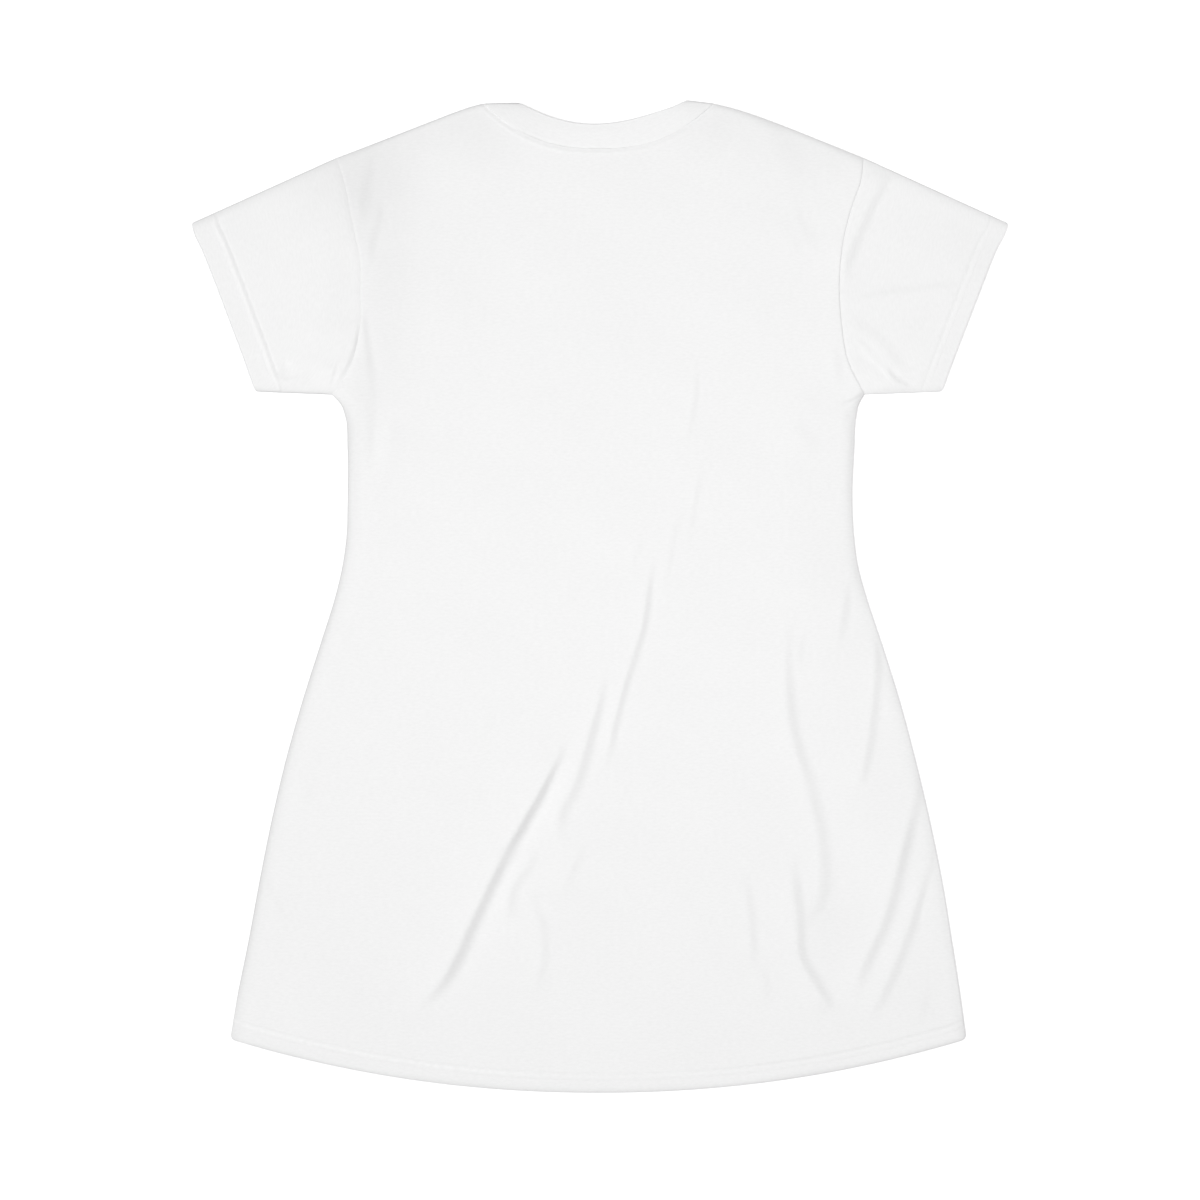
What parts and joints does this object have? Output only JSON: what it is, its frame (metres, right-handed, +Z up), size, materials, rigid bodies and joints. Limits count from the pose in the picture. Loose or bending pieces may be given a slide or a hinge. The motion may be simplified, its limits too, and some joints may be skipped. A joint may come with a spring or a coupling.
{
  "type": "t-shirt dress",
  "caption": "Short-sleeved jersey t-shirt dress with a crew neck band and a flared skirt, laid flat with its back up.",
  "frame": {"origin": "on the floor under the middle of the laid-out dress's bounding box", "axes": "+Y towards the neck, +X towards the wearer's right sleeve seen from above, +Z up out of the dress's back"},
  "size_m": [0.726, 0.881, 0.0084],
  "materials": {
    "jersey": "matt white single jersey",
    "band_jersey": "matt white jersey folded double",
    "thread": "white polyester sewing thread"
  },
  "bodies": {
    "root": {"front_panel": "jersey", "back_panel": "jersey", "sleeve_left": "jersey", "sleeve_right": "jersey", "neck_band": "band_jersey"}
  },
  "joints": []
}
